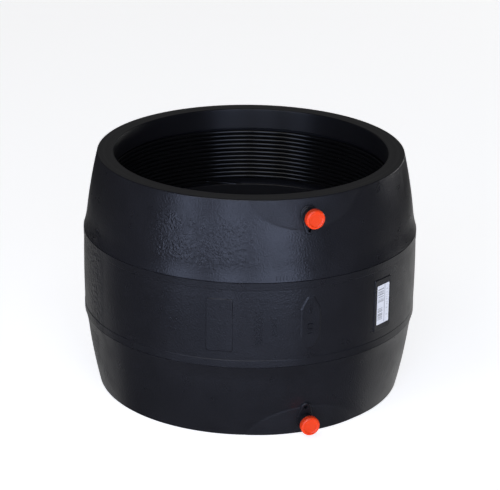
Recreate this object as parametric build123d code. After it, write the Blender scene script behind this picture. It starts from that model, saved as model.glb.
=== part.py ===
from build123d import *
import math
import os

# Electrofusion coupler for 315 mm polyethylene pipe: a barrel-shaped body with two equal sockets,
# a coated heating wire laid in each socket, and one capped terminal with a fusion indicator per end.
# Millimetres. The origin is the centre of the lower end face, +Z runs along the bore, and both
# terminals face -Y.

# --- body ---
BODY_HEIGHT = 280.0
BORE_R = 158.5
RIM_R = 177.4                # outer radius at the end face, before its edge is rounded
RIM_ROUND = 1.5
BORE_ROUND = 1.5
CROWN_TOP = 71.0             # height where the crowned cone ends and its lip flares out
CROWN_TOP_R = 190.1
CROWN_BULGE = 1.1            # how far the crowned cone stands out from its chord
LIP_TOP = 89.5
LIP_R = 193.9
LIP_HOLLOW = 0.35            # how far the flare under the lip falls inside its chord
GROOVE_WIDTH = 0.9           # groove between the lip and the raised ring band
GROOVE_DEPTH = 0.6
RING_TOP = 98.5
RING_R = 194.3
BAND_R = 193.9               # the middle band at its edges, one step below the ring band
BAND_BULGE = 0.6             # how much the middle band swells towards mid-height

# --- heating wire ---
WIRE_R = 0.6
COATING_R = 2.5
COIL_R = 160.8               # radius of the wire's centre line
COIL_PITCH = 5.2
COIL_END = 27.3              # centre height of the outermost turn, from the end face
UPPER_TURNS = 12.5
BRIDGE_TURNS = 0.6
LOWER_TURNS = 12.9
SEAT_R = COIL_R + COATING_R
SEAT_MARGIN = 0.2            # free height of the seat beyond the outermost and innermost turns
ENTRY_LENGTH = COIL_END - COATING_R - SEAT_MARGIN
GROOVE_MARGIN = 0.05

# --- terminals ---
TERMINAL_INSET = 17.5        # terminal axis to the end face
PIN_R = 2.35
PIN_FOOT_R = 3.2             # the pin's thicker foot, moulded in
PIN_CHAMFER = 0.75
PIN_BASE = 166.5             # this and the next six are distances from the bore's axis along -Y
SHROUD_BASE = 170.0
SHROUD_FLOOR = 177.4
PIN_WALL = 178.25            # where the pin's slim shank starts, above its coned foot
PIN_TIP = 197.0
TUBE_END = 200.0
CAP_FACE = 203.0
TUBE_R = 7.75
TUBE_BORE_R = 5.0
PLUG_R = 8.5
FLANGE_R = 10.0
FLANGE_TIP_R = 5.75
FLANGE_PROUD = 2.4
FLANGE_DEPTH = 3.0
CAP_R = 11.0
CAP_SKIRT = 6.7              # length of the cap along its axis
CAP_CLEARANCE = 0.09
CAP_ROUND = 2.2

# --- fusion indicators ---
INDICATOR_OFFSET = 17.0      # terminal axis to indicator axis, towards the middle
INDICATOR_R = 2.0
INDICATOR_CLEARANCE = 0.08
INDICATOR_LENGTH = 12.0
INDICATOR_ROUND = 0.8
INDICATOR_RECESS = 3.0
WELL_MARGIN = 0.3

# --- flat bosses on the middle band ---
BOSS_AZIMUTH = 30.0
BOSS_WIDTH = 30.0
BOSS_HEIGHT = 62.0
BOSS_CORNER = 2.0
BOSS_FACE = 194.75           # distance of the flat face from the axis
BOSS_ROOT = 185.0
LONG_BOSS_WIDTH = 23.0
LONG_BOSS_FACE = 194.7
LABEL_WIDTH = 22.0
LABEL_HEIGHT = 47.0
LABEL_THICKNESS = 0.2

OUT = "parts"
TINY = 1e-3
MID_Z = BODY_HEIGHT / 2
TERMINAL_UP = BODY_HEIGHT - TERMINAL_INSET
MIRROR = Plane(origin=(0, 0, MID_Z), z_dir=(0, 0, 1))


def bowed(start, end, bulge):
    """Arc between two (radius, height) points whose middle stands out radially by bulge."""
    middle = ((start[0] + end[0]) / 2 + bulge, (start[1] + end[1]) / 2)
    return ThreePointArc(*[(r, 0, z) for r, z in (start, middle, end)])


def straight(*points):
    return Polyline(*[(r, 0, z) for r, z in points])


def outer_edge():
    """Outer edge of the lower half, from the rim to the start of the middle band."""
    rim = (RIM_R, 0)
    crown = (CROWN_TOP_R, CROWN_TOP)
    lip = (LIP_R, LIP_TOP)
    groove = (LIP_R - GROOVE_DEPTH, LIP_TOP + GROOVE_WIDTH / 2)
    ring = (RING_R, LIP_TOP + GROOVE_WIDTH)
    return [
        bowed(rim, crown, CROWN_BULGE),
        bowed(crown, lip, -LIP_HOLLOW),
        straight(lip, groove, ring, (RING_R, RING_TOP), (BAND_R, RING_TOP)),
    ]


def bore_edge():
    """Bore edge of the lower half, from the rim to mid-height, with the winding's seat."""
    seat_low = ENTRY_LENGTH
    seat_high = bridge_foot() + COATING_R + SEAT_MARGIN
    mouth = (BORE_R, 0)
    seat = [(BORE_R, seat_low), (SEAT_R, seat_low), (SEAT_R, seat_high), (BORE_R, seat_high)]
    return [straight((RIM_R, 0), mouth, *seat, (BORE_R, MID_Z))]


def mouth_edges(solid, radius):
    """The two circles of a given radius that lie in the end faces."""
    circles = solid.edges().filter_by(GeomType.CIRCLE)
    alike = [edge for edge in circles if abs(edge.radius - radius) < TINY]
    return [edge for edge in alike if abs(abs(edge.center().Z - MID_Z) - MID_Z) < TINY]


def body_blank():
    """Revolved body, the same both ways up, with rounded mouths."""
    half = outer_edge() + bore_edge()
    band = bowed((BAND_R, RING_TOP), (BAND_R, BODY_HEIGHT - RING_TOP), BAND_BULGE)
    outline = half + [band] + [mirror(edge, about=MIRROR) for edge in half]
    blank = revolve(make_face(outline), Axis.Z)
    blank = fillet(mouth_edges(blank, RIM_R), RIM_ROUND)
    return fillet(mouth_edges(blank, BORE_R), BORE_ROUND)


def facing(azimuth, distance, height=MID_Z):
    """Plane whose normal points out of the body at an azimuth from -Y towards +X."""
    angle = math.radians(azimuth)
    out = Vector(math.sin(angle), -math.cos(angle), 0)
    return Plane(origin=out * distance + Vector(0, 0, height), x_dir=(math.cos(angle), math.sin(angle), 0),
                 z_dir=out)


def radial_cylinder(radius, start, end, height):
    """Cylinder along -Y between two distances from the bore's axis."""
    plane = facing(0, start, height)
    return extrude(plane * Circle(radius), end - start)


def around(turn, height):
    """Point on the wire's centre line, a number of turns counter-clockwise from -Y."""
    angle = 2 * math.pi * turn
    return Vector(COIL_R * math.sin(angle), -COIL_R * math.cos(angle), height)


def climb(turns):
    """Height that a winding gains over its turns, each half turn being a tilted half circle."""
    whole = math.floor(2 * turns)
    rest = 2 * turns - whole
    return COIL_PITCH / 2 * (whole + (1 - math.cos(math.pi * rest)) / 2)


def winding(turns, start_turn, start_height, section):
    """Winding of a right-handed coil, each half turn tangent to the next."""
    count = math.ceil(2 * turns)
    halves = []
    for index in range(count):
        shares = [(index + part) / 2 for part in (0, 0.5, 1)]
        halves.append(ThreePointArc(*[around(start_turn + t, start_height + COIL_PITCH * t) for t in shares]))
    halves[-1] = halves[-1].trim(0, 2 * turns - count + 1)
    path = Wire(halves)
    return sweep(Plane(origin=path @ 0, z_dir=path % 0) * section, path=path)


def core_section():
    """The round wire taken as an octagon."""
    return RegularPolygon(WIRE_R, 8)


def coating_section():
    """Outer shape of the coating, which holds the core."""
    return Circle(COATING_R)


def bridge_foot():
    return COIL_END + climb(LOWER_TURNS)


def bridge_top():
    return BODY_HEIGHT - COIL_END - climb(UPPER_TURNS)


def lower_winding(section):
    return winding(LOWER_TURNS, 0, COIL_END, section)


def upper_winding(section):
    return winding(UPPER_TURNS, LOWER_TURNS + BRIDGE_TURNS, bridge_top(), section)


def bridge(section):
    """Steeper helix from the lower winding's last turn to the upper winding's first."""
    rise = bridge_top() - bridge_foot()
    path = Helix(rise / BRIDGE_TURNS, rise, COIL_R)
    piece = sweep(Plane(origin=path @ 0, z_dir=path % 0) * section, path=path, is_frenet=True)
    return Pos(0, 0, bridge_foot()) * Rot(0, 0, -90 + 360 * LOWER_TURNS) * piece


def surface_radius(from_end):
    """Radius of the crowned cone at a distance from its end face, taking its arc as a parabola."""
    share = from_end / CROWN_TOP
    return RIM_R + (CROWN_TOP_R - RIM_R) * share + 4 * CROWN_BULGE * share * (1 - share)


def cone_tilt():
    """Lean of the cone's surface between the terminal and the indicator, in radians."""
    far = surface_radius(TERMINAL_INSET + INDICATOR_OFFSET)
    return math.atan((far - surface_radius(TERMINAL_INSET)) / INDICATOR_OFFSET)


def teardrop_plane():
    """Plane on the upper cone at the terminal, its x to +X and its y up the cone."""
    tilt = cone_tilt()
    out = Vector(0, -math.cos(tilt), math.sin(tilt))
    origin = Vector(0, -surface_radius(TERMINAL_INSET), TERMINAL_UP)
    return Plane(origin=origin, x_dir=(1, 0, 0), z_dir=out)


def teardrop():
    """Flange outline: a large and a small circle with their outer tangents."""
    reach = INDICATOR_OFFSET / math.cos(cone_tilt())
    lean = math.asin((FLANGE_R - FLANGE_TIP_R) / reach)
    corners = [
        (-FLANGE_R * math.cos(lean), -FLANGE_R * math.sin(lean)),
        (FLANGE_R * math.cos(lean), -FLANGE_R * math.sin(lean)),
        (FLANGE_TIP_R * math.cos(lean), -reach - FLANGE_TIP_R * math.sin(lean)),
        (-FLANGE_TIP_R * math.cos(lean), -reach - FLANGE_TIP_R * math.sin(lean)),
    ]
    web = make_face(Polyline(*corners, close=True))
    return web + Circle(FLANGE_R) + Pos(0, -reach) * Circle(FLANGE_TIP_R)


def shroud_blank():
    """Flange, seated plug and tube of the upper terminal, still solid."""
    plane = teardrop_plane()
    flange = extrude(plane.offset(-FLANGE_DEPTH) * teardrop(), FLANGE_DEPTH + FLANGE_PROUD)
    plug = radial_cylinder(PLUG_R, SHROUD_BASE, surface_radius(TERMINAL_INSET), TERMINAL_UP)
    tube = radial_cylinder(TUBE_R, SHROUD_BASE, TUBE_END, TERMINAL_UP)
    return flange + plug + tube


def indicator_height():
    return TERMINAL_UP - INDICATOR_OFFSET


def indicator_tip():
    """Distance of the indicator's recessed tip from the bore's axis."""
    return surface_radius(BODY_HEIGHT - indicator_height()) + FLANGE_PROUD - INDICATOR_RECESS


def indicator_well():
    start = indicator_tip() - INDICATOR_LENGTH - WELL_MARGIN
    return radial_cylinder(INDICATOR_R + INDICATOR_CLEARANCE, start, TUBE_END, indicator_height())


def pin_foot():
    return radial_cylinder(PIN_FOOT_R, PIN_BASE, SHROUD_FLOOR, TERMINAL_UP)


def pin():
    """Turned pin: thick foot, short cone, slim shank and chamfered tip."""
    outline = [
        (PIN_BASE, 0), (PIN_BASE, PIN_FOOT_R), (SHROUD_FLOOR, PIN_FOOT_R), (PIN_WALL, PIN_R),
        (PIN_TIP - PIN_CHAMFER, PIN_R), (PIN_TIP, PIN_R - PIN_CHAMFER), (PIN_TIP, 0),
    ]
    corners = [(0, -distance, TERMINAL_UP + radius) for distance, radius in outline]
    return revolve(make_face(Polyline(*corners, close=True)), Axis((0, 0, TERMINAL_UP), (0, -1, 0)))


def shroud():
    recess = radial_cylinder(TUBE_BORE_R, SHROUD_FLOOR, TUBE_END, TERMINAL_UP)
    return shroud_blank() - recess - pin_foot() - indicator_well()


def indicator():
    tip = indicator_tip()
    post = radial_cylinder(INDICATOR_R, tip - INDICATOR_LENGTH, tip, indicator_height())
    return fillet(post.faces().sort_by(Axis.Y)[0].edges(), INDICATOR_ROUND)


def cap():
    outside = radial_cylinder(CAP_R, CAP_FACE - CAP_SKIRT, CAP_FACE, TERMINAL_UP)
    outside = fillet(outside.faces().sort_by(Axis.Y)[0].edges(), CAP_ROUND)
    inside = radial_cylinder(TUBE_R + CAP_CLEARANCE, CAP_FACE - CAP_SKIRT, TUBE_END, TERMINAL_UP)
    return outside - inside


def lead():
    """Straight tail from the outermost turn's core to the upper pin's foot, where it is welded."""
    start = Vector(0, -COIL_R, BODY_HEIGHT - COIL_END)
    end = Vector(0, -(PIN_BASE + PIN_R), TERMINAL_UP - PIN_FOOT_R + WIRE_R)
    direction = end - start
    return extrude(Plane(origin=start, z_dir=direction) * Circle(WIRE_R), direction.length)


def square_boss(azimuth):
    plane = facing(azimuth, BOSS_ROOT)
    outline = RectangleRounded(BOSS_WIDTH, BOSS_HEIGHT, BOSS_CORNER)
    return extrude(plane * outline, BOSS_FACE - BOSS_ROOT)


def long_boss():
    plane = facing(0, BOSS_ROOT)
    outline = SlotOverall(BOSS_HEIGHT, LONG_BOSS_WIDTH, rotation=90)
    return extrude(plane * outline, LONG_BOSS_FACE - BOSS_ROOT)


def label():
    plane = facing(BOSS_AZIMUTH, BOSS_FACE)
    return extrude(plane * Rectangle(LABEL_WIDTH, LABEL_HEIGHT), LABEL_THICKNESS)


def terminal_cuts():
    """Everything that the upper terminal removes from the body."""
    return [shroud_blank(), pin_foot(), indicator_well(), lead()]


def bridge_groove():
    """Groove across the unheated centre for the bridging wire."""
    return bridge(Circle(COATING_R + GROOVE_MARGIN))


def body():
    solid = body_blank() + square_boss(-BOSS_AZIMUTH) + square_boss(BOSS_AZIMUTH) + long_boss()
    for cut in terminal_cuts():
        solid -= cut
        solid -= mirror(cut, about=MIRROR)
    return solid - bridge_groove()


def save(name, shape):
    export_step(shape, f"{OUT}/{name}.step")


def main():
    os.makedirs(OUT, exist_ok=True)
    save("coupler_body", body())
    save("winding_coating_upper", upper_winding(coating_section()))
    save("winding_coating_lower", lower_winding(coating_section()))
    save("bridge_coating", bridge(coating_section()))
    save("heating_wire_upper", upper_winding(core_section()))
    save("heating_wire_lower", lower_winding(core_section()))
    save("bridge_wire", bridge(core_section()))
    save("barcode_label", label())
    for name, piece in {
        "lead_wire": lead(),
        "terminal_pin": pin(),
        "terminal_shroud": shroud(),
        "fusion_indicator": indicator(),
        "terminal_cap": cap(),
    }.items():
        save(f"{name}_upper", piece)
        save(f"{name}_lower", mirror(piece, about=MIRROR))


main()
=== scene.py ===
import math

import bmesh
import bpy
import numpy as np
from mathutils import Matrix, Vector


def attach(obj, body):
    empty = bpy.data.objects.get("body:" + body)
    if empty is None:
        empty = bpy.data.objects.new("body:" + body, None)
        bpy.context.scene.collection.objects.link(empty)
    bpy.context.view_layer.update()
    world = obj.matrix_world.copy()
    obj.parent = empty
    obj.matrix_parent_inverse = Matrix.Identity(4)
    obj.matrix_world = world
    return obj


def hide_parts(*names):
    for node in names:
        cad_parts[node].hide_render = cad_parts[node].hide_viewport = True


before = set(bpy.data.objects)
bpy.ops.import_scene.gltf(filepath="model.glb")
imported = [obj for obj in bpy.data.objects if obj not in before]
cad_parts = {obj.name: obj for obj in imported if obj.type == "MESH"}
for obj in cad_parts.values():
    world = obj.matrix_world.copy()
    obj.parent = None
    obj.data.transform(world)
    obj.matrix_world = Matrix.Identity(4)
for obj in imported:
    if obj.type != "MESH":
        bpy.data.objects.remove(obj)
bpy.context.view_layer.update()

# Sizes are in millimetres until a mesh is made. Azimuths are in degrees from -Y towards +X.
MM = 0.001
HEIGHT = 280.0
MID_Z = HEIGHT / 2

# --- body ---
RIM_R = 177.4
RIM_ROUND = 1.5
BORE_R = 158.5
CROWN_TOP, CROWN_TOP_R, CROWN_BULGE = 71.0, 190.1, 1.1
LIP_TOP, LIP_R, LIP_HOLLOW = 89.5, 193.9, 0.35
GROOVE_WIDTH, GROOVE_DEPTH = 0.9, 0.6
RING_TOP, RING_R = 98.5, 194.3
BAND_R, BAND_BULGE = 193.9, 0.6
SEAT_R, SEAT_LOW, SEAT_HIGH = 163.3, 24.6, 97.35

# --- flat bosses of the middle band ---
BOSS_AZIMUTH, BOSS_HALF_W, BOSS_HALF_H, BOSS_CORNER, BOSS_FACE = 30.0, 15.0, 31.0, 2.0, 194.85
LONG_HALF_W, LONG_HALF_H, LONG_SHOULDER, LONG_TIP, LONG_FACE = 11.5, 31.0, 16.0, 3.5, 194.75

# --- label ---
LABEL_HALF_W, LABEL_HALF_H, LABEL_CORNER = 11.0, 23.5, 0.8

# --- wire ---
COATING_R, COIL_R = 2.5, 160.8
WIRE_PATHS = {  # turns from -Y and heights of each run's two ends
    "winding_coating_lower": ((0.0, 27.3), (12.9, 94.65)),
    "bridge_coating": ((12.9, 94.65), (13.5, 187.7)),
    "winding_coating_upper": ((13.5, 187.7), (26.0, 252.7)),
}
WIRE_CORES = ("heating_wire_upper", "heating_wire_lower", "bridge_wire", "lead_wire_upper", "lead_wire_lower")

# --- terminals ---
TERMINAL_INSET, INDICATOR_OFFSET = 17.5, 17.0
FLANGE_R, FLANGE_TIP_R, FLANGE_PROUD, FLANGE_DEPTH = 10.0, 5.75, 2.4, 3.0
TUBE_R, TUBE_BORE_R, PLUG_R = 7.75, 5.0, 8.5
PIN_R, PIN_FOOT_R, PIN_CHAMFER = 2.35, 3.2, 0.75
PIN_BASE, SHROUD_BASE, SHROUD_FLOOR, PIN_WALL, PIN_TIP = 166.5, 170.0, 177.4, 178.25, 197.0
TUBE_END, CAP_FACE = 200.0, 203.0
CAP_R, CAP_SKIRT, CAP_BORE_R, CAP_ROUND = 11.0, 6.7, 7.84, 2.2
INDICATOR_R, INDICATOR_TIP, INDICATOR_LENGTH, INDICATOR_HOLE_R = 2.0, 184.07, 12.0, 2.08

# --- camera, in the frame whose -Y looks from the object to the camera ---
CAMERA_TURN = -20.45
CAMERA_AT = (0.0, -2.2394, 1.0083)
CAMERA_RIGHT = (0.99991665, 0.0041797, 0.01221563)
CAMERA_UP = (-0.01290423, 0.35394854, 0.93517587)
CAMERA_LENS = 146.56

# --- floor, backdrop and lights ---
FLOOR_Z = -0.3
FLOOR_RINGS = (600.0, 2000.0, 8000.0, 40000.0)
WALL_R, WALL_TOP = 20000.0, 30000.0
LIGHT_DISTANCE = 2.6        # metres
SKY_BLUE = (0.59, 0.69, 1.0)
WARM_WHITE = (1.0, 0.98, 0.96)


# ---------------------------------------------------------------- helpers

def smooth(x):
    x = np.clip(x, 0.0, 1.0)
    return x * x * (3 - 2 * x)


def make_piece(name, points, faces, materials, sharp=32.0, face_slots=None):
    """Mesh object from points in mm, with its normals outward and its hard edges marked."""
    mesh = bpy.data.meshes.new(name)
    mesh.from_pydata([tuple(p) for p in np.asarray(points, float) * MM], [], faces)
    for material in materials:
        mesh.materials.append(material)
    if face_slots is not None:
        mesh.polygons.foreach_set("material_index", np.asarray(face_slots, np.int32))
    shell = bmesh.new()
    shell.from_mesh(mesh)
    bmesh.ops.recalc_face_normals(shell, faces=shell.faces)
    shell.to_mesh(mesh)
    shell.free()
    finish_shading(mesh, sharp)
    obj = bpy.data.objects.new(name, mesh)
    bpy.context.scene.collection.objects.link(obj)
    return obj


def finish_shading(mesh, sharp):
    """Smooth shading, with the edges that turn by more than an angle in degrees kept hard."""
    mesh.shade_smooth()
    mesh.set_sharp_from_angle(angle=math.radians(sharp))


def grid_faces(rows, columns, offset=0, wrap_rows=False, wrap_columns=True):
    faces = []
    for i in range(rows if wrap_rows else rows - 1):
        for j in range(columns if wrap_columns else columns - 1):
            i2, j2 = (i + 1) % rows, (j + 1) % columns
            faces.append((offset + i * columns + j, offset + i * columns + j2,
                          offset + i2 * columns + j2, offset + i2 * columns + j))
    return faces


def lathe(profile, height, segments=64):
    """Points and faces of a profile of (radius, distance) turned about the -Y axis at a height.
    A radius of 0 at either end closes the shape on its axis; otherwise the profile is a closed loop."""
    out, side, up = np.array((0.0, -1.0, 0.0)), np.array((1.0, 0.0, 0.0)), np.array((0.0, 0.0, 1.0))
    base = np.array((0.0, 0.0, height))
    points, rings, faces = [], [], []
    for radius, distance in profile:
        if radius == 0:
            rings.append([len(points)] * segments)
            points.append(base + out * distance)
            continue
        rings.append(list(range(len(points), len(points) + segments)))
        for k in range(segments):
            turn = 2 * math.pi * k / segments
            around = side * math.cos(turn) + up * math.sin(turn)
            points.append(base + out * distance + radius * around)
    closed_on_axis = profile[0][0] == 0
    for i in range(len(rings) - 1 if closed_on_axis else len(rings)):
        first, second = rings[i], rings[(i + 1) % len(rings)]
        for k in range(segments):
            k2 = (k + 1) % segments
            corners = [first[k], first[k2], second[k2], second[k]]
            faces.append(tuple(dict.fromkeys(corners)))
    return points, faces


def arc(centre, radius, start, end, steps):
    """Points of (radius, distance) on an arc, with its angles in degrees."""
    turns = [math.radians(start + (end - start) * k / steps) for k in range(steps + 1)]
    return [(centre[0] + radius * math.cos(t), centre[1] + radius * math.sin(t)) for t in turns]


def terminal_height(end):
    return HEIGHT - TERMINAL_INSET if end == "upper" else TERMINAL_INSET


def inward(end):
    """-1 where the middle of the body lies below the terminal, 1 where it lies above."""
    return -1 if end == "upper" else 1


# ---------------------------------------------------------------- materials

class Shader:
    """A material's node tree with short calls for the nodes that it needs."""

    def __init__(self, name, **settings):
        self.material = bpy.data.materials.new(name)
        self.material.use_nodes = True
        self.tree = self.material.node_tree
        self.bsdf = self.tree.nodes["Principled BSDF"]
        for key, value in settings.items():
            self.bsdf.inputs[key.replace("_", " ")].default_value = value
        self.where = self.add("ShaderNodeTexCoord").outputs["Object"]

    def add(self, kind, inputs=None, **settings):
        made = self.tree.nodes.new(kind)
        for key, value in settings.items():
            setattr(made, key, value)
        for key, value in (inputs or {}).items():
            if isinstance(value, bpy.types.NodeSocket):
                self.tree.links.new(value, made.inputs[key])
            else:
                made.inputs[key].default_value = value
        return made

    def put(self, socket, value):
        self.tree.links.new(value, self.bsdf.inputs[socket])

    def noise(self, scale, detail=3.0, rough=0.5, where=None, stretch=None):
        where = where or self.where
        if stretch:
            where = self.add("ShaderNodeMapping", {"Vector": where, "Scale": stretch}).outputs[0]
        return self.add("ShaderNodeTexNoise", {"Vector": where, "Scale": scale, "Detail": detail,
                                               "Roughness": rough}).outputs["Fac"]

    def remap(self, value, low, high, out_low=0.0, out_high=1.0):
        return self.add("ShaderNodeMapRange", {"Value": value, "From Min": low, "From Max": high,
                                               "To Min": out_low, "To Max": out_high}).outputs[0]

    def math(self, operation, a, b=0.0):
        return self.add("ShaderNodeMath", {0: a, 1: b}, operation=operation).outputs[0]

    def mix(self, factor, a, b):
        return self.add("ShaderNodeMix", {0: factor, 6: a, 7: b}, data_type="RGBA").outputs[2]

    def axis(self, name):
        return self.add("ShaderNodeSeparateXYZ", {0: self.where}).outputs[name]

    def bump(self, height, distance, strength=1.0, normal=None):
        inputs = {"Height": height, "Distance": distance, "Strength": strength}
        if normal:
            inputs["Normal"] = normal
        return self.add("ShaderNodeBump", inputs).outputs[0]


def grey(value, blue=1.0):
    return (value, value, value * blue, 1.0)


def black(value):
    """Bluish black of the moulded polyethylene."""
    return (value, value * 0.97, value * 1.12, 1.0)


def skin_shader(name):
    """Moulded black polyethylene: orange peel, streaks, two wrinkled patches and duller terminal pads."""
    s = Shader(name, IOR=1.5)
    x, y, z = (s.axis(n) for n in "XYZ")
    turn = s.math("ARCTAN2", x, s.math("MULTIPLY", y, -1.0))

    def between(value, low, high, soft):
        rise, fall = s.remap(value, low - soft, low + soft), s.remap(value, high + soft, high - soft)
        return s.math("MULTIPLY", rise, fall)

    cloud = s.remap(s.noise(16.0, 4.0), 0.3, 0.7)
    s.put("Base Color", s.mix(cloud, black(0.0115), black(0.0155)))
    shrink = s.math("MULTIPLY", between(turn, -0.98, -0.34, 0.06), between(z, 0.205, 0.258, 0.006))
    shrink = s.math("MULTIPLY", shrink, s.remap(s.noise(22.0, 1.0, 0.5), 0.34, 0.54))
    hammered = s.math("MULTIPLY", between(turn, -1.92, -1.42, 0.05), between(z, 0.02, 0.2, 0.02))
    hammered = s.math("MULTIPLY", hammered, s.remap(s.noise(18.0, 1.0, 0.5), 0.36, 0.5))
    gloss = s.remap(s.noise(60.0, 3.0), 0.3, 0.7, 0.27, 0.35)
    end = s.math("MINIMUM", z, s.math("SUBTRACT", 0.28, z))
    across = s.math("POWER", s.math("MULTIPLY", s.math("ABSOLUTE", turn), 2.5), 2.0)
    along = s.math("POWER", s.math("DIVIDE", s.math("ADD", end, 0.018), 0.0535), 2.0)
    pad = s.remap(s.math("ADD", across, along), 1.0, 0.95)
    gloss = s.math("ADD", gloss, s.math("MULTIPLY", pad, 0.16))
    s.put("Roughness", s.math("SUBTRACT", gloss, s.math("MULTIPLY", shrink, 0.04)))
    streak = s.noise(20.0, 3.0, 0.5, stretch=(1.0, 1.0, 7.0))
    normal = s.bump(s.noise(540.0, 0.0, 0.5), 0.17 * MM)
    normal = s.bump(streak, 0.12 * MM, normal=normal)
    normal = s.bump(s.math("MULTIPLY", s.noise(280.0, 2.0, 0.6), shrink), 0.75 * MM, normal=normal)
    s.put("Normal", s.bump(s.math("MULTIPLY", s.noise(200.0, 3.0, 0.6), hammered), 1.9 * MM, normal=normal))
    return s.material


def machined_shader(name, along, rough=0.3, stretched=0.0):
    """Turned black polyethylene; its tool marks go round the bore and draw highlights out across them."""
    s = Shader(name, IOR=1.5)
    x, y, z = (s.axis(n) for n in "XYZ")
    radius = s.math("SQRT", s.math("ADD", s.math("MULTIPLY", x, x), s.math("MULTIPLY", y, y)))
    step = s.add("ShaderNodeCombineXYZ", {0: z if along == "z" else radius, 1: 0.0, 2: 0.0}).outputs[0]
    mark = s.noise(900.0, 3.0, 0.6, where=step)
    band = s.noise(160.0, 2.0, 0.5, where=step)
    cloud = s.noise(25.0, 3.0)
    s.put("Base Color", s.mix(cloud, black(0.0085), black(0.012)))
    s.put("Roughness", s.remap(band, 0.3, 0.7, rough, rough + 0.08))
    if stretched:
        s.bsdf.inputs["Anisotropic"].default_value = stretched
        s.bsdf.inputs["Anisotropic Rotation"].default_value = 0.25
        s.put("Tangent", s.add("ShaderNodeTangent", direction_type="RADIAL", axis="Z").outputs[0])
    normal = s.bump(mark, 0.03 * MM)
    normal = s.bump(band, 0.05 * MM, normal=normal)
    s.put("Normal", s.bump(s.noise(500.0, 2.0), 0.01 * MM, normal=normal))
    return s.material


def coating_shader(name):
    """Black sheath of the heating wire, with slight extrusion marks."""
    s = Shader(name, IOR=1.5)
    s.put("Base Color", s.mix(s.noise(40.0, 3.0), grey(0.0035, 1.1), grey(0.0060, 1.1)))
    s.put("Roughness", s.remap(s.noise(60.0, 2.0), 0.3, 0.7, 0.15, 0.2))
    s.put("Normal", s.bump(s.noise(70.0, 2.0), 0.02 * MM))
    return s.material


def shroud_shader(name):
    """Glossy black moulding of the terminal shrouds."""
    s = Shader(name, IOR=1.52)
    s.put("Base Color", s.mix(s.noise(200.0, 3.0), black(0.010), black(0.015)))
    s.put("Roughness", s.remap(s.noise(500.0, 3.0), 0.3, 0.7, 0.26, 0.36))
    s.put("Normal", s.bump(s.noise(900.0, 2.0), 0.012 * MM))
    return s.material


def cap_shader(name):
    """Orange-red moulded polyethylene, a little waxy."""
    s = Shader(name, IOR=1.5, Specular_IOR_Level=0.45)
    s.bsdf.inputs["Subsurface Weight"].default_value = 0.15
    s.bsdf.inputs["Subsurface Radius"].default_value = (1.0, 0.25, 0.1)
    s.bsdf.inputs["Subsurface Scale"].default_value = 0.0015
    s.put("Base Color", s.mix(s.noise(180.0, 4.0), (0.97, 0.056, 0.010, 1), (1.0, 0.072, 0.014, 1)))
    s.put("Roughness", s.remap(s.noise(420.0, 3.0), 0.3, 0.7, 0.15, 0.24))
    normal = s.bump(s.noise(1300.0, 2.0), 0.012 * MM)
    s.put("Normal", s.bump(s.noise(260.0, 3.0), 0.03 * MM, normal=normal))
    return s.material


def metal_shader(name, light, dark, rough):
    """Bare metal that varies between two colours, with a fine uneven grain."""
    s = Shader(name, Metallic=1.0)
    s.put("Base Color", s.mix(s.noise(700.0, 4.0), light, dark))
    s.put("Roughness", s.remap(s.noise(1200.0, 3.0), 0.3, 0.7, rough, rough + 0.12))
    s.put("Normal", s.bump(s.noise(2500.0, 2.0), 0.008 * MM))
    return s.material


def indicator_shader(name):
    """Glossy black plastic of the fusion indicators."""
    s = Shader(name, IOR=1.5)
    s.put("Base Color", s.mix(s.noise(900.0, 3.0), black(0.005), black(0.009)))
    s.put("Roughness", s.remap(s.noise(1500.0, 2.0), 0.3, 0.7, 0.14, 0.24))
    s.put("Normal", s.bump(s.noise(2200.0, 2.0), 0.008 * MM))
    return s.material


def label_shader(name):
    """White paper label with a plain bar pattern and grey strips; nothing on it can be read."""
    s = Shader(name, IOR=1.45)
    turn = math.radians(BOSS_AZIMUTH)
    across = s.add("ShaderNodeVectorMath", {0: s.where, 1: (math.cos(turn), math.sin(turn), 0)},
                   operation="DOT_PRODUCT").outputs["Value"]
    height = s.axis("Z")

    def within(value, low, high):
        above, below = s.math("GREATER_THAN", value, low * MM), s.math("LESS_THAN", value, high * MM)
        return s.math("MULTIPLY", above, below)

    line = s.add("ShaderNodeCombineXYZ", {0: 0.0, 1: 0.0, 2: height}).outputs[0]
    bars = s.math("GREATER_THAN", s.noise(640.0, 1.0, 0.5, where=line), 0.5)
    long_block = s.math("MULTIPLY", within(across, -9.6, 1.0), within(height, 143, 161))
    long_bars = s.math("MULTIPLY", bars, long_block)
    short_block = s.math("MULTIPLY", within(across, -9.6, -0.6), within(height, 121, 137))
    short_bars = s.math("MULTIPLY", bars, short_block)
    rule = s.math("MULTIPLY", within(across, 2.3, 3.3), within(height, 117.5, 163))
    grey_strips = s.math("MULTIPLY", within(across, 5.6, 8.8),
                         s.math("GREATER_THAN", s.noise(380.0, 2.0, 0.5, where=line), 0.54))
    paper = s.mix(s.noise(300.0, 4.0), (0.84, 0.84, 0.85, 1), (0.92, 0.92, 0.93, 1))
    paper = s.mix(s.math("MULTIPLY", grey_strips, 0.3), paper, grey(0.2))
    ink = s.math("MAXIMUM", s.math("MAXIMUM", long_bars, short_bars), rule)
    s.put("Base Color", s.mix(s.math("MULTIPLY", ink, 0.55), paper, grey(0.05)))
    s.put("Roughness", s.remap(s.noise(500.0, 3.0), 0.3, 0.7, 0.38, 0.52))
    s.put("Normal", s.bump(s.noise(600.0, 4.0), 0.02 * MM))
    return s.material


def floor_shader():
    s = Shader("floor_white", Roughness=0.9)
    s.put("Base Color", s.mix(s.noise(3.0, 2.0), grey(0.80), grey(0.82)))
    s.bsdf.inputs["Emission Color"].default_value = (1, 1, 1, 1)
    s.bsdf.inputs["Emission Strength"].default_value = 0.8
    return s.material


# ---------------------------------------------------------------- body

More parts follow.
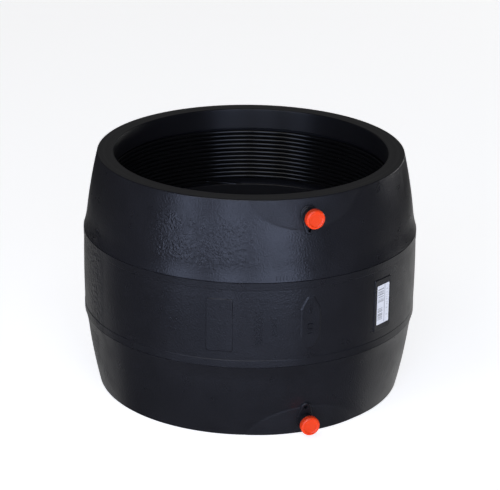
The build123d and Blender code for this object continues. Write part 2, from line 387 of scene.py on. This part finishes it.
def base_radius(z):
    """Outer radius before any relief: crowned cones, flared lips, grooves, ring bands and middle band."""
    d = np.minimum(z, HEIGHT - z)
    s = d / CROWN_TOP
    crown = RIM_R + (CROWN_TOP_R - RIM_R) * s + 4 * CROWN_BULGE * s * (1 - s)
    u = (d - CROWN_TOP) / (LIP_TOP - CROWN_TOP)
    flare = CROWN_TOP_R + (LIP_R - CROWN_TOP_R) * u - 4 * LIP_HOLLOW * u * (1 - u)
    blend = smooth((d - CROWN_TOP + 3.5) / 7)
    cone = crown * (1 - blend) + flare * blend
    band = BAND_R + BAND_BULGE * (1 - ((z - MID_Z) / (MID_Z - RING_TOP)) ** 2)
    step = smooth((d - RING_TOP + 0.15) / 0.45)
    ring = RING_R * (1 - step) + band * step
    radius = np.where(d < LIP_TOP + GROOVE_WIDTH / 2, cone, ring)
    cut = 1 - np.abs(d - LIP_TOP - GROOVE_WIDTH / 2) / (GROOVE_WIDTH / 2)
    return radius - GROOVE_DEPTH * smooth(cut * 1.2)


def pad_height(azimuth, z):
    """Raised pad round each terminal, an ellipse that runs out at the end face."""
    x = 185 * np.radians(azimuth)
    d = np.minimum(z, HEIGHT - z)
    q = np.sqrt((x / 74) ** 2 + ((d + 18) / 53.5) ** 2)
    inside = (1 - q) * 60
    return 0.45 * smooth(inside / 3) + 1.0 * smooth(inside / 26)


def flange_distance(x, y):
    """Signed distance to the flange's outline, with x across and y from the terminal towards the middle."""
    x = np.abs(x)
    b = (FLANGE_R - FLANGE_TIP_R) / INDICATOR_OFFSET
    a = math.sqrt(1 - b * b)
    k = -b * x + a * y
    near = np.hypot(x, y) - FLANGE_R
    far = np.hypot(x, y - INDICATOR_OFFSET) - FLANGE_TIP_R
    return np.where(k < 0, near, np.where(k > a * INDICATOR_OFFSET, far, a * x + b * y - FLANGE_R))


def sink(radius, floor, share):
    return radius + (np.minimum(floor, radius) - radius) * share


def outer_radius(azimuth, z):
    """Outer radius with every relief, for arrays of azimuths and heights."""
    radius = base_radius(z) + pad_height(azimuth, z)
    # the two square bosses, the left one with its right side falling away
    for centre in (-BOSS_AZIMUTH, BOSS_AZIMUTH):
        turn = np.radians(azimuth - centre)
        near = np.abs(azimuth - centre) < 12
        x = BOSS_FACE * np.tan(np.where(near, turn, 0))
        y = z - MID_Z
        qx = np.abs(x) - BOSS_HALF_W + BOSS_CORNER
        qy = np.abs(y) - BOSS_HALF_H + BOSS_CORNER
        outside = np.hypot(np.maximum(qx, 0), np.maximum(qy, 0)) + np.minimum(np.maximum(qx, qy), 0)
        face = BOSS_FACE / np.cos(turn)
        if centre < 0:
            face = face - 0.075 * np.maximum(0, x - 7.8 - 2.2 * (y / BOSS_HALF_H) ** 2)
        share = np.where(near, smooth((BOSS_CORNER - outside + 0.1) / 0.8), 0)
        radius = np.maximum(radius, radius + (face - radius) * share)
    # the long boss with pointed ends
    near = np.abs(azimuth) < 8
    x = LONG_FACE * np.tan(np.radians(np.where(near, azimuth, 0)))
    y = np.abs(z - MID_Z)
    taper = np.clip((y - LONG_SHOULDER) / (LONG_HALF_H - LONG_SHOULDER), 0, None)
    half = LONG_HALF_W - (LONG_HALF_W - LONG_TIP) * taper ** 1.15
    inside = np.minimum(half - np.abs(x), LONG_HALF_H - y) * np.where(y > LONG_SHOULDER, 0.85, 1.0)
    face = LONG_FACE / np.cos(np.radians(np.where(near, azimuth, 0)))
    share = np.where(near, smooth((inside + 0.1) / 1.0), 0)
    radius = np.maximum(radius, radius + (face - radius) * share)
    # the seats under the terminals' flanges, with the plug's and the indicator's wells
    for end in ("upper", "lower"):
        y = (z - terminal_height(end)) * inward(end)
        near = np.abs(azimuth) < 8
        inside = -flange_distance(x, y)
        seat = np.where(near, smooth((inside - 0.9) / 0.7), 0)
        radius = radius - FLANGE_DEPTH * seat
        plug = np.where(near, smooth((8.9 - np.hypot(x, y)) / 0.3), 0)
        well = np.where(near, smooth((3.4 - np.hypot(x, y - INDICATOR_OFFSET)) / 0.5), 0)
        radius = sink(radius, SHROUD_BASE - 0.2, np.maximum(plug, well))
    return radius


def spread(start, end, step):
    count = max(1, round((end - start) / step))
    return list(np.linspace(start, end, count + 1))


def body_azimuths():
    """Columns round the body, close together only where the surface has relief."""
    edge = math.degrees(1 / 194.2)
    columns = spread(-180, -52, 2.0) + spread(-52, -36, 1.6) + spread(-25, -7, 0.9)
    columns += spread(7, 25, 1.5) + spread(36, 180, 2.0)
    columns += spread(-6.6, -4.2, 0.4) + spread(-4.0, 4.0, 0.2) + spread(4.2, 6.6, 0.4)
    for centre in (-BOSS_AZIMUTH, BOSS_AZIMUTH):
        for side in (-1, 1):
            for inset in (-0.9, -0.25, 0.0, 0.12, 0.25, 0.38, 0.52, 0.7, 1.1, 1.7):
                columns.append(centre + side * (BOSS_HALF_W - inset) * edge)
        columns += spread(centre - 13 * edge, centre + 13 * edge, 1.3 * edge)
    columns = sorted(set(round(c, 4) for c in columns if -180 <= c < 180))
    kept = [columns[0]]
    for column in columns[1:]:
        if column - kept[-1] > 0.03:
            kept.append(column)
    return np.array(kept)


def body_heights():
    """Rows up the outside, close together only where the surface has relief."""
    half = spread(RIM_ROUND, 5.5, 1.3) + spread(6.3, 42, 0.85) + spread(44, 88, 2.75)
    half += [88.9, 89.35, 89.5, 89.62, 89.78, 89.95, 90.12, 90.28, 90.4, 90.6, 91.5, 93.5, 96, 97.8, 98.2]
    half += [98.35, 98.45, 98.55, 98.65, 98.8, 99.3, 101, 104, 107, 108.3]
    half += [108.8, 109.0, 109.12, 109.25, 109.38, 109.52, 109.7, 110.2, 111.0]
    half += spread(111.8, 127, 0.8) + spread(129, 139, 2.0)
    return np.array(sorted(half) + [MID_Z] + sorted(HEIGHT - h for h in half))


def bore_loop():
    """Points of (radius, height) from the top mouth down the bore to the bottom mouth."""
    top = HEIGHT
    down = [(BORE_R + RIM_ROUND * (1 - math.sin(t)), top - RIM_ROUND * (1 - math.cos(t)))
            for t in np.radians([0, 18, 36, 54, 72, 90])]
    loop = down + [(BORE_R, z) for z in (top - 6, top - 12, top - 18, top - SEAT_LOW + 0.4)]
    loop += [(BORE_R + 0.25, top - SEAT_LOW + 0.05), (SEAT_R, top - SEAT_LOW)]
    loop += [(SEAT_R, z) for z in spread(top - SEAT_LOW - 9, top - SEAT_HIGH + 9, 9)]
    loop += [(SEAT_R, top - SEAT_HIGH), (BORE_R + 0.25, top - SEAT_HIGH - 0.05)]
    loop.append((BORE_R, top - SEAT_HIGH - 0.4))
    loop += [(BORE_R, z) for z in (170, 155)]
    return loop + [(BORE_R, MID_Z)] + [(r, HEIGHT - z) for r, z in reversed(loop)]


def build_body(skin, finishes):
    azimuths, heights = body_azimuths(), body_heights()
    count = len(azimuths)
    rows = [(outer_radius(azimuths, np.full(count, z)), z, 0) for z in heights]
    rim = rows[-1][0]
    for t in np.radians([18, 36, 54, 72, 90]):
        rows.append((rim - RIM_ROUND * (1 - math.cos(t)), HEIGHT - RIM_ROUND * (1 - math.sin(t)), 0))
    face_out = rows[-1][0]
    for share in (0.03, 0.3, 0.6, 0.97):
        rows.append((face_out + (BORE_R + RIM_ROUND - face_out) * share, HEIGHT, 1))
    rows += [(np.full(count, r), z, 2) for r, z in bore_loop()]
    foot = rows[0][0]
    foot_in = foot - RIM_ROUND
    for share in (0.97, 0.6, 0.3, 0.03):
        rows.append((foot_in + (BORE_R + RIM_ROUND - foot_in) * share, 0.0, 1))
    for t in np.radians([90, 72, 54, 36, 18]):
        rows.append((foot - RIM_ROUND * (1 - math.cos(t)), RIM_ROUND * (1 - math.sin(t)), 0))
    turn = np.radians(azimuths)
    points = np.concatenate([np.stack([r * np.sin(turn), -r * np.cos(turn), np.full(count, z)], 1)
                             for r, z, _ in rows])
    slots = []
    for (_, z, kind), (_, next_z, next_kind) in zip(rows, rows[1:] + rows[:1]):
        slot = max(kind, next_kind) if kind != 2 else (2 if next_kind == 2 else 1)
        deep = min(z, next_z) > SEAT_LOW - 1 and max(z, next_z) < HEIGHT - SEAT_LOW + 1
        slots += [3 if slot == 2 and deep else slot] * count
    faces = grid_faces(len(rows), count, wrap_rows=True)
    body = make_piece("coupler_shell", points, faces, [skin, *finishes], 28.0, slots)
    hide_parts("coupler_body")
    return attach(body, "coupler")


def on_surface(azimuth, z, proud=0.0):
    radius = float(outer_radius(np.array([azimuth]), np.array([z]))[0]) + proud
    turn = math.radians(azimuth)
    return np.array((radius * math.sin(turn), -radius * math.cos(turn), z))


def dome(points, faces, azimuth, z, radius, height, segments=8):
    """Adds one closed round stud that stands on the body and is rooted under its surface."""
    turn = math.radians(azimuth)
    out = np.array((math.sin(turn), -math.cos(turn), 0.0))
    side = np.array((math.cos(turn), math.sin(turn), 0.0))
    up = np.array((0.0, 0.0, 1.0))
    centre = on_surface(azimuth, z)
    start = len(points)
    points.append(centre + out * height)
    for share, level in ((0.5, 0.85), (0.85, 0.45), (1.0, -0.4)):
        for k in range(segments):
            a = 2 * math.pi * k / segments
            points.append(centre + out * height * level
                          + radius * share * (side * math.cos(a) + up * math.sin(a)))
    points.append(centre - out * height * 0.6)
    for k in range(segments):
        k2 = (k + 1) % segments
        faces.append((start, start + 1 + k, start + 1 + k2))
        for ring in range(2):
            a, b = start + 1 + ring * segments, start + 1 + (ring + 1) * segments
            faces.append((a + k, b + k, b + k2, a + k2))
        last = start + 1 + 2 * segments
        faces.append((last + k, start + 1 + 3 * segments, last + k2))


def bar(points, faces, azimuth, start, end, width, height):
    """Adds one closed raised stroke between two points of (across, up) in mm from an azimuth's line."""
    (x0, z0), (x1, z1) = start, end
    length = math.hypot(x1 - x0, z1 - z0)
    along = ((x1 - x0) / length, (z1 - z0) / length)
    sideways = (-along[1], along[0])
    first = len(points)
    layers = ((-0.25, 1.0), (height * 0.55, 0.92), (height, 0.45))
    for level, share in layers:
        half = width / 2 * share
        for sx, sy in ((-1, -1), (1, -1), (1, 1), (-1, 1)):
            ax = (x0 if sx < 0 else x1) + along[0] * sx * half + sideways[0] * sy * half
            az = (z0 if sx < 0 else z1) + along[1] * sx * half + sideways[1] * sy * half
            points.append(on_surface(azimuth + math.degrees(ax / 194.0), az, level))
    faces.append((first + 3, first + 2, first + 1, first))
    faces.append((first + 8, first + 9, first + 10, first + 11))
    for layer in range(2):
        a, b = first + 4 * layer, first + 4 * (layer + 1)
        for k in range(4):
            k2 = (k + 1) % 4
            faces.append((a + k, a + k2, b + k2, b + k))


def build_marks(skin):
    """Raised dots and strokes where the real part carries moulded marks. The dots are a plain pattern.
    The strokes can't be read, but repeat the order of the real ones: tick, caret, open bracket."""
    points, faces = [], []
    for column, (centre, low, high, wide) in enumerate(((-17.4, 118.0, 157.0, 2), (-12.3, 128.5, 148.5, 1))):
        rows = int((high - low) / 2.1)
        for row in range(rows + 1):
            for place in range(-wide, wide + 1):
                if (row + abs(place) + column) % 3:
                    dome(points, faces, centre + place * 0.62, low + row * 2.1, 0.8, 0.62)
    for azimuth in (-46.7, -44.7):
        dome(points, faces, azimuth, 140.4, 1.2, 0.7, 12)
    marks = make_piece("moulded_dots", points, faces, [skin], 50.0)
    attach(marks, "coupler")
    points, faces = [], []
    strokes = [((-1.2, 160.5), (1.0, 156.0)), ((-3.2, 151.0), (-1.6, 156.5)), ((-1.6, 156.5), (0.2, 151.0)),
               ((-3.4, 138.5), (1.6, 138.5)), ((-3.4, 132.5), (1.6, 132.5)), ((-3.4, 138.5), (-3.4, 132.5)),
               ((-2.8, 127.5), (1.6, 127.5))]
    for start, end in strokes:
        bar(points, faces, 0.0, start, end, 1.2, 0.7)
    for place in range(4):
        bar(points, faces, -11.6 + place * 1.1, (0.0, 193.0), (0.0, 196.6), 0.9, 0.35)
    strokes = make_piece("moulded_strokes", points, faces, [skin], 40.0)
    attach(strokes, "coupler")


# ---------------------------------------------------------------- wire

def tube_along(centres, tangents, radius, sides=14):
    """Closed tube round a line of points, with rounded ends."""
    centres, tangents = np.asarray(centres), np.asarray(tangents)
    rings = []
    for psi in (80, 60, 35):
        rings.append((centres[0] - tangents[0] * radius * math.sin(math.radians(psi)), tangents[0],
                      radius * math.cos(math.radians(psi))))
    rings += [(c, t, radius) for c, t in zip(centres, tangents)]
    for psi in (35, 60, 80):
        rings.append((centres[-1] + tangents[-1] * radius * math.sin(math.radians(psi)), tangents[-1],
                      radius * math.cos(math.radians(psi))))
    points = []
    for centre, tangent, size in rings:
        out = np.array((centre[0], centre[1], 0.0))
        out /= np.linalg.norm(out)
        out -= tangent * out.dot(tangent)
        out /= np.linalg.norm(out)
        side = np.cross(tangent, out)
        for k in range(sides):
            a = 2 * math.pi * k / sides
            points.append(centre + size * (out * math.cos(a) + side * math.sin(a)))
    faces = grid_faces(len(rings), sides)
    faces.append(tuple(range(sides)))
    faces.append(tuple(reversed(range(len(points) - sides, len(points)))))
    return points, faces


def build_wire(material):
    for node, ((turn_a, z_a), (turn_b, z_b)) in WIRE_PATHS.items():
        steps = max(40, round((turn_b - turn_a) * 132))
        turns = np.linspace(turn_a, turn_b, steps + 1) * 2 * math.pi
        rise = (z_b - z_a) / (turns[-1] - turns[0])
        centres = np.stack([COIL_R * np.sin(turns), -COIL_R * np.cos(turns),
                            z_a + rise * (turns - turns[0])], 1)
        tangents = np.stack([COIL_R * np.cos(turns), COIL_R * np.sin(turns), np.full(len(turns), rise)], 1)
        tangents /= np.linalg.norm(tangents, axis=1)[:, None]
        buried = 0.35 if node == "bridge_coating" else 0.0
        points, faces = tube_along(centres, tangents, COATING_R - buried)
        piece = make_piece(node.replace("coating", "sheath"), points, faces, [material], 50.0)
        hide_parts(node)
        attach(piece, "coupler")


# ---------------------------------------------------------------- terminals

def flange_outline(inset, count=40):
    """Points of (across, towards the middle) round the flange, moved in by an inset."""
    lean = math.asin((FLANGE_R - FLANGE_TIP_R) / INDICATOR_OFFSET)
    big, small = FLANGE_R - inset, FLANGE_TIP_R - inset
    outline = []
    for k in range(count + 1):
        start, end = math.pi - lean, 2 * math.pi + lean
        t = start + (end - start) * k / count
        outline.append((big * math.cos(t), big * math.sin(t)))
    for k in range(count // 2 + 1):
        start, end = lean, math.pi - lean
        t = start + (end - start) * k / (count // 2)
        outline.append((small * math.cos(t), INDICATOR_OFFSET + small * math.sin(t)))
    return outline


def flange_solid(end):
    """Flange plate on the tilted cone, its upper edge rounded."""
    near, far = base_radius(np.array([TERMINAL_INSET, TERMINAL_INSET + INDICATOR_OFFSET]))
    tilt = math.atan((far - near) / INDICATOR_OFFSET)
    sign = inward(end)
    out = np.array((0.0, -math.cos(tilt), -sign * math.sin(tilt)))
    along = np.array((0.0, -math.sin(tilt), sign * math.cos(tilt)))
    across = np.array((1.0, 0.0, 0.0))
    origin = np.array((0.0, -near, terminal_height(end)))
    stretch = 1 / math.cos(tilt)
    layers = [(-FLANGE_DEPTH, 0.0), (1.2, 0.0), (1.75, 0.10), (2.15, 0.38), (2.36, 0.75),
              (FLANGE_PROUD, 1.2)]
    points, count = [], 0
    for level, inset in layers:
        outline = flange_outline(inset)
        count = len(outline)
        points += [origin + out * level + across * x + along * (y * (stretch if y > 8 else 1.0))
                   for x, y in outline]
    faces = grid_faces(len(layers), count)
    faces.append(tuple(range(count)))
    faces.append(tuple(reversed(range(len(points) - count, len(points)))))
    return points, faces


def combine(name, base, cutters_and_modes, material, sharp=30.0):
    """Applies boolean modifiers with the exact solver and returns the result as one piece."""
    work = make_piece(name, *base, [material], sharp)
    others = []
    for k, (shape, mode) in enumerate(cutters_and_modes):
        other = make_piece(f"{name}_tool{k}", *shape, [material], sharp)
        others.append(other)
        modifier = work.modifiers.new(f"step{k}", "BOOLEAN")
        modifier.object, modifier.operation, modifier.solver = other, mode, "EXACT"
    shaped = bpy.data.meshes.new_from_object(work.evaluated_get(bpy.context.evaluated_depsgraph_get()))
    work.modifiers.clear()
    work.data = shaped
    for other in others:
        bpy.data.objects.remove(other)
    shell = bmesh.new()
    shell.from_mesh(shaped)
    bmesh.ops.remove_doubles(shell, verts=shell.verts, dist=0.004 * MM)
    bmesh.ops.recalc_face_normals(shell, faces=shell.faces)
    shell.to_mesh(shaped)
    shell.free()
    finish_shading(shaped, sharp)
    return work


def build_shroud(end, material):
    z = terminal_height(end)
    tube = [(0, SHROUD_BASE), (PLUG_R - 0.3, SHROUD_BASE), (PLUG_R, SHROUD_BASE + 0.3), (PLUG_R, 183.6)]
    tube += arc((PLUG_R + 0.15, 184.6), 0.9, 245, 180, 5)
    tube += [(TUBE_R, 186.0), (TUBE_R, 190.0), (TUBE_R, 195.0)]
    tube += arc((TUBE_R - 0.5, TUBE_END - 0.5), 0.5, 0, 90, 4) + [(0, TUBE_END)]
    recess = [(0, PIN_BASE - 2), (PIN_FOOT_R, PIN_BASE - 2), (PIN_FOOT_R, SHROUD_FLOOR),
              (TUBE_BORE_R - 0.4, SHROUD_FLOOR), (TUBE_BORE_R, SHROUD_FLOOR + 0.4),
              (TUBE_BORE_R, TUBE_END - 0.4), (TUBE_BORE_R + 0.5, TUBE_END + 0.1),
              (TUBE_BORE_R + 0.5, TUBE_END + 3), (0, TUBE_END + 3)]
    hole = [(0, PIN_BASE), (INDICATOR_HOLE_R, PIN_BASE), (INDICATOR_HOLE_R, 186.3),
            (INDICATOR_HOLE_R + 0.45, 187.0), (INDICATOR_HOLE_R + 0.45, TUBE_END), (0, TUBE_END)]
    steps = [(lathe(tube, z, 72), "UNION"), (lathe(recess, z, 48), "DIFFERENCE"),
             (lathe(hole, z + inward(end) * INDICATOR_OFFSET, 40), "DIFFERENCE")]
    piece = combine(f"shroud_moulding_{end}", flange_solid(end), steps, material)
    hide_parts(f"terminal_shroud_{end}")
    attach(piece, "coupler")


def build_turned(name, profile, height, material, body, node, segments=64, sharp=32.0):
    piece = make_piece(name, *lathe(profile, height, segments), [material], sharp)
    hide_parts(node)
    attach(piece, body)
    return piece


def build_terminal(end, materials):
    z = terminal_height(end)
    build_shroud(end, materials["shroud"])
    pin = [(0, PIN_BASE), (PIN_FOOT_R - 0.2, PIN_BASE), (PIN_FOOT_R, PIN_BASE + 0.2),
           (PIN_FOOT_R, SHROUD_FLOOR), (PIN_R, PIN_WALL), (PIN_R, PIN_TIP - PIN_CHAMFER),
           (PIN_R - 0.27, PIN_TIP - 0.27), (PIN_R - PIN_CHAMFER, PIN_TIP), (0, PIN_TIP)]
    build_turned(f"contact_pin_{end}", pin, z, materials["brass"], "coupler", f"terminal_pin_{end}",
                 48)
    back = CAP_FACE - CAP_SKIRT
    cap = [(0, TUBE_END), (CAP_BORE_R - 0.5, TUBE_END), (CAP_BORE_R - 0.1, TUBE_END - 0.1),
           (CAP_BORE_R, TUBE_END - 0.5), (CAP_BORE_R, back + 0.5), (CAP_BORE_R + 0.4, back),
           (CAP_R - 0.45, back)]
    cap += arc((CAP_R - 0.45, back + 0.45), 0.45, -90, 0, 4)[1:]
    cap += arc((CAP_R - CAP_ROUND, CAP_FACE - CAP_ROUND), CAP_ROUND, 0, 90, 9)
    cap += [(8.5, CAP_FACE - 0.02), (8.15, CAP_FACE - 0.16), (7.85, CAP_FACE - 0.5), (7.4, CAP_FACE - 0.66),
            (6.6, CAP_FACE - 0.7), (3.0, CAP_FACE - 0.62), (0, CAP_FACE - 0.58)]
    build_turned(f"dust_cap_{end}", cap, z, materials["cap"], f"cap_{end}", f"terminal_cap_{end}",
                 72)
    tip = INDICATOR_TIP
    post = [(0, tip - INDICATOR_LENGTH), (INDICATOR_R - 0.2, tip - INDICATOR_LENGTH),
            (INDICATOR_R, tip - INDICATOR_LENGTH + 0.2), (INDICATOR_R, tip - 5.0)]
    post += arc((INDICATOR_R - 0.8, tip - 0.8), 0.8, 0, 75, 5) + [(0.6, tip - 0.01), (0, tip)]
    build_turned(f"indicator_post_{end}", post, z + inward(end) * INDICATOR_OFFSET, materials["indicator"],
                 f"indicator_{end}", f"fusion_indicator_{end}", 36)


# ---------------------------------------------------------------- label

def build_label(material):
    """Thin sheet on the boss's face, with a little waviness and softened corners."""
    turn = math.radians(BOSS_AZIMUTH)
    out = np.array((math.sin(turn), -math.cos(turn), 0.0))
    side = np.array((math.cos(turn), math.sin(turn), 0.0))
    half_w, half_h, corner = LABEL_HALF_W, LABEL_HALF_H, LABEL_CORNER
    columns, rows = 16, 32
    points = []
    for level in (0.0, 1.0):
        for j in range(rows + 1):
            for i in range(columns + 1):
                x = half_w * (2 * i / columns - 1)
                y = half_h * (2 * j / rows - 1)
                over = max(abs(x) - half_w + corner, 0) * max(abs(y) - half_h + corner, 0) / corner ** 2
                x -= math.copysign(corner * 0.3 * over, x)
                y -= math.copysign(corner * 0.3 * over, y)
                wave = 0.035 * math.sin(x * 0.55 + 1) * math.sin(y * 0.23)
                lift = 0.01 + level * (0.15 + wave)
                points.append(out * (BOSS_FACE + lift) + side * x + np.array((0, 0, MID_Z + y)))
    per = (columns + 1) * (rows + 1)
    faces = grid_faces(rows + 1, columns + 1, 0, wrap_columns=False)
    faces += [tuple(reversed(f)) for f in grid_faces(rows + 1, columns + 1, per, wrap_columns=False)]
    border = list(range(columns)) + [(j + 1) * (columns + 1) - 1 for j in range(rows)]
    border += [per - 1 - i for i in range(columns)] + [(rows - j) * (columns + 1) for j in range(rows)]
    for a, b in zip(border, border[1:] + border[:1]):
        faces.append((a, b, b + per, a + per))
    piece = make_piece("paper_label", points, faces, [material], 60.0)
    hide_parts("barcode_label")
    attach(piece, "coupler")


# ---------------------------------------------------------------- stage

def towards(azimuth, elevation):
    """Unit vector to a place seen from the object; azimuth 0 is the camera's side, 90 its right."""
    a, e = math.radians(azimuth + CAMERA_TURN), math.radians(elevation)
    return Vector((math.sin(a) * math.cos(e), -math.cos(a) * math.cos(e), math.sin(e)))


def softbox(name, azimuth, elevation, distance, width, height, radiance, colour=(1, 1, 1)):
    """Rectangular studio light that faces the object, its power set from how bright its panel looks."""
    data = bpy.data.lights.new(name, "AREA")
    data.shape, data.size, data.size_y = "RECTANGLE", width, height
    data.energy = radiance * math.pi * width * height
    data.color = colour
    obj = bpy.data.objects.new(name, data)
    bpy.context.scene.collection.objects.link(obj)
    direction = towards(azimuth, elevation)
    obj.location = Vector((0, 0, MID_Z * MM)) + direction * distance
    obj.rotation_euler = direction.to_track_quat("Z", "Y").to_euler()
    obj.visible_camera = False


def build_camera():
    data = bpy.data.cameras.new("camera")
    data.sensor_width, data.sensor_fit, data.lens = 36.0, "HORIZONTAL", CAMERA_LENS
    data.clip_end = 100.0
    data.shift_x, data.shift_y = -0.0012, 0.0008
    camera = bpy.data.objects.new("camera", data)
    bpy.context.scene.collection.objects.link(camera)
    right, up = Vector(CAMERA_RIGHT), Vector(CAMERA_UP)
    axes = Matrix((right, up, right.cross(up))).transposed().to_4x4()
    placed = Matrix.Translation(CAMERA_AT) @ axes
    camera.matrix_world = Matrix.Rotation(math.radians(CAMERA_TURN), 4, "Z") @ placed
    bpy.context.scene.camera = camera


def build_floor():
    """Pale floor, and a wall round it that only the camera sees, so that level views have no dark sky."""
    count = 48
    points = [(0, 0, FLOOR_Z)]
    for radius in FLOOR_RINGS:
        for k in range(count):
            a = 2 * math.pi * k / count
            points.append((radius * math.cos(a), radius * math.sin(a), FLOOR_Z))
    faces = [(0, 1 + k, 1 + (k + 1) % count) for k in range(count)]
    faces += grid_faces(len(FLOOR_RINGS), count, 1)
    floor = make_piece("floor", points, faces, [floor_shader()])
    if floor.data.polygons[0].normal.z < 0:
        floor.data.flip_normals()
    floor.visible_glossy = False
    floor.visible_shadow = False
    turns = np.linspace(0, 2 * math.pi, count, endpoint=False)
    levels = (FLOOR_Z, WALL_TOP / 2, WALL_TOP)
    wall_points = [(WALL_R * math.cos(a), WALL_R * math.sin(a), z) for z in levels for a in turns]
    wall = make_piece("backdrop", wall_points, grid_faces(len(levels), count), [floor.data.materials[0]])
    wall.visible_glossy = wall.visible_shadow = wall.visible_diffuse = False


def build_lights():
    world = bpy.data.worlds.new("studio")
    world.use_nodes = True
    background = world.node_tree.nodes["Background"]
    background.inputs["Color"].default_value = (1, 1, 1, 1)
    background.inputs["Strength"].default_value = 0.02
    bpy.context.scene.world = world
    for side, low, high in (("left", -51, -35), ("middle", -21, -4), ("right", 5, 32)):
        width = 2 * LIGHT_DISTANCE * math.tan(math.radians((high - low) / 2))
        softbox(f"front_panel_{side}", (low + high) / 2, 12, LIGHT_DISTANCE, width, 2.3, 2.8, SKY_BLUE)
    softbox("low_front", -4, -24, LIGHT_DISTANCE, 3.7, 0.6, 0.42, SKY_BLUE)
    softbox("top_key", -15, 56, LIGHT_DISTANCE, 2.2, 1.2, 1.5, WARM_WHITE)
    softbox("right_strip", 130, 4, LIGHT_DISTANCE, 1.9, 0.24, 4.5)
    softbox("back_card", 180, 24, LIGHT_DISTANCE, 2.6, 1.1, 0.11)
    softbox("left_card", -145, -28, 2.2, 2.9, 1.0, 0.3)
    softbox("right_card", 133, -30, 2.2, 3.1, 1.15, 0.48)


# ---------------------------------------------------------------- build

def main():
    bpy.context.scene.view_settings.view_transform = "Standard"
    build_camera()
    skin = skin_shader("pe_skin")
    build_body(skin, [machined_shader("pe_end_face", "radius"), machined_shader("pe_entry", "z", 0.40, 0.85),
                      machined_shader("pe_bore", "z", 0.34)])
    build_marks(skin)
    build_wire(coating_shader("wire_sheath"))
    metals = {
        "brass": metal_shader("brass", (0.78, 0.52, 0.20, 1), (0.66, 0.42, 0.15, 1), 0.2),
        "wire": metal_shader("resistance_alloy", (0.62, 0.36, 0.22, 1), (0.5, 0.28, 0.17, 1), 0.28),
    }
    terminal = {"shroud": shroud_shader("shroud_gloss"), "brass": metals["brass"],
                "cap": cap_shader("cap_orange_pe"), "indicator": indicator_shader("indicator_pe")}
    for end in ("upper", "lower"):
        build_terminal(end, terminal)
    build_label(label_shader("label_paper"))
    for name in WIRE_CORES:
        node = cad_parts[name]
        if not node.data.materials:
            node.data.materials.append(None)
        for slot in node.material_slots:
            slot.material = metals["wire"]
    build_floor()
    build_lights()


main()
